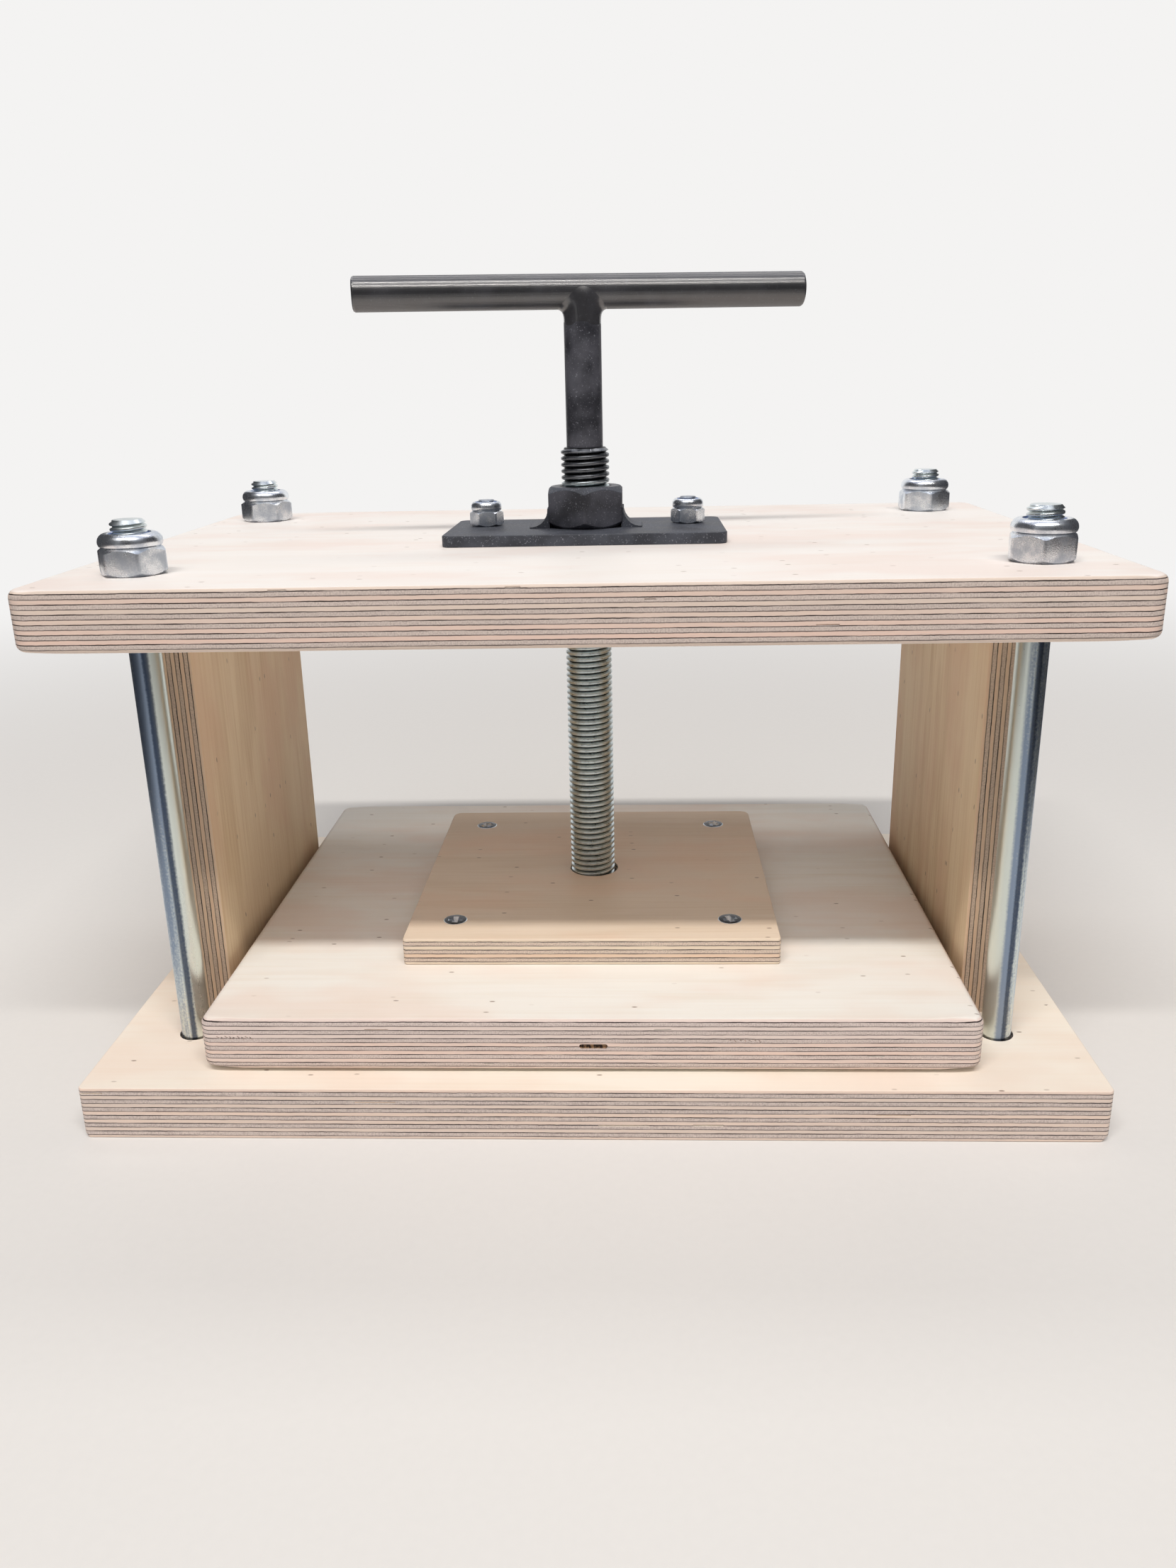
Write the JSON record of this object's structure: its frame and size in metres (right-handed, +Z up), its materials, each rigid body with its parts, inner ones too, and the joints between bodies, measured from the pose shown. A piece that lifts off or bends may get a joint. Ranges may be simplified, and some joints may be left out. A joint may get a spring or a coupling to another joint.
{
  "type": "book press",
  "caption": "Plywood book press: box frame held by tie bolts, T-handled screw in a nut welded to a top plate, and a pressing board that it drives.",
  "frame": {"origin": "middle of the base board's underside, on the surface that the press stands on", "axes": "+Z up along the screw, +X to the right along the boards' long side, +Y to the back"},
  "size_m": [0.3, 0.208, 0.2429],
  "materials": {
    "birch_plywood": "sanded bare",
    "zinc_plated_steel": "bright zinc",
    "nylon": "moulded",
    "black_painted_steel": "satin black paint",
    "bare_steel": "oiled, rolled thread"
  },
  "bodies": {
    "frame": {"base_board": "birch_plywood", "top_board": "birch_plywood", "side_panel_left": "birch_plywood", "side_panel_right": "birch_plywood", "tie_bolt_front_left": "zinc_plated_steel", "tie_bolt_front_right": "zinc_plated_steel", "tie_bolt_back_left": "zinc_plated_steel", "tie_bolt_back_right": "zinc_plated_steel", "tie_washer_front_left": "zinc_plated_steel", "tie_washer_front_right": "zinc_plated_steel", "tie_washer_back_left": "zinc_plated_steel", "tie_washer_back_right": "zinc_plated_steel", "tie_nut_front_left": "zinc_plated_steel", "tie_nut_front_right": "zinc_plated_steel", "tie_nut_back_left": "zinc_plated_steel", "tie_nut_back_right": "zinc_plated_steel", "tie_insert_front_left": "nylon", "tie_insert_front_right": "nylon", "tie_insert_back_left": "nylon", "tie_insert_back_right": "nylon", "nut_plate": "black_painted_steel", "press_nut": "black_painted_steel", "nut_weld_left": "black_painted_steel", "nut_weld_right": "black_painted_steel", "plate_bolt_left": "zinc_plated_steel", "plate_bolt_right": "zinc_plated_steel", "plate_nut_left": "zinc_plated_steel", "plate_nut_right": "zinc_plated_steel", "plate_insert_left": "nylon", "plate_insert_right": "nylon"},
    "pressing_head": {"pressing_board": "birch_plywood", "retainer_board": "birch_plywood", "thrust_plate": "zinc_plated_steel", "retainer_screw_front_left": "zinc_plated_steel", "retainer_screw_front_right": "zinc_plated_steel", "retainer_screw_back_left": "zinc_plated_steel", "retainer_screw_back_right": "zinc_plated_steel"},
    "screw": {"press_screw": "bare_steel", "handle_bar": "black_painted_steel", "handle_weld": "black_painted_steel", "thrust_disc": "bare_steel", "disc_screw": "zinc_plated_steel"}
  },
  "joints": [
    {"name": "head_lift", "type": "slide", "parent": "frame", "child": "pressing_head", "axis": [0, 0, 1], "range_m": [-0.00101, 0.10001]},
    {"name": "screw_turn", "type": "hinge", "parent": "pressing_head", "child": "screw", "pos_m": [-0.0011, 0, 0.1], "axis": [0, 0, 1], "range_deg": [-180, 18000]}
  ],
  "couplings": [
    {"joint": "head_lift", "follows": "screw_turn", "m_per_rad": 0.00031831}
  ]
}
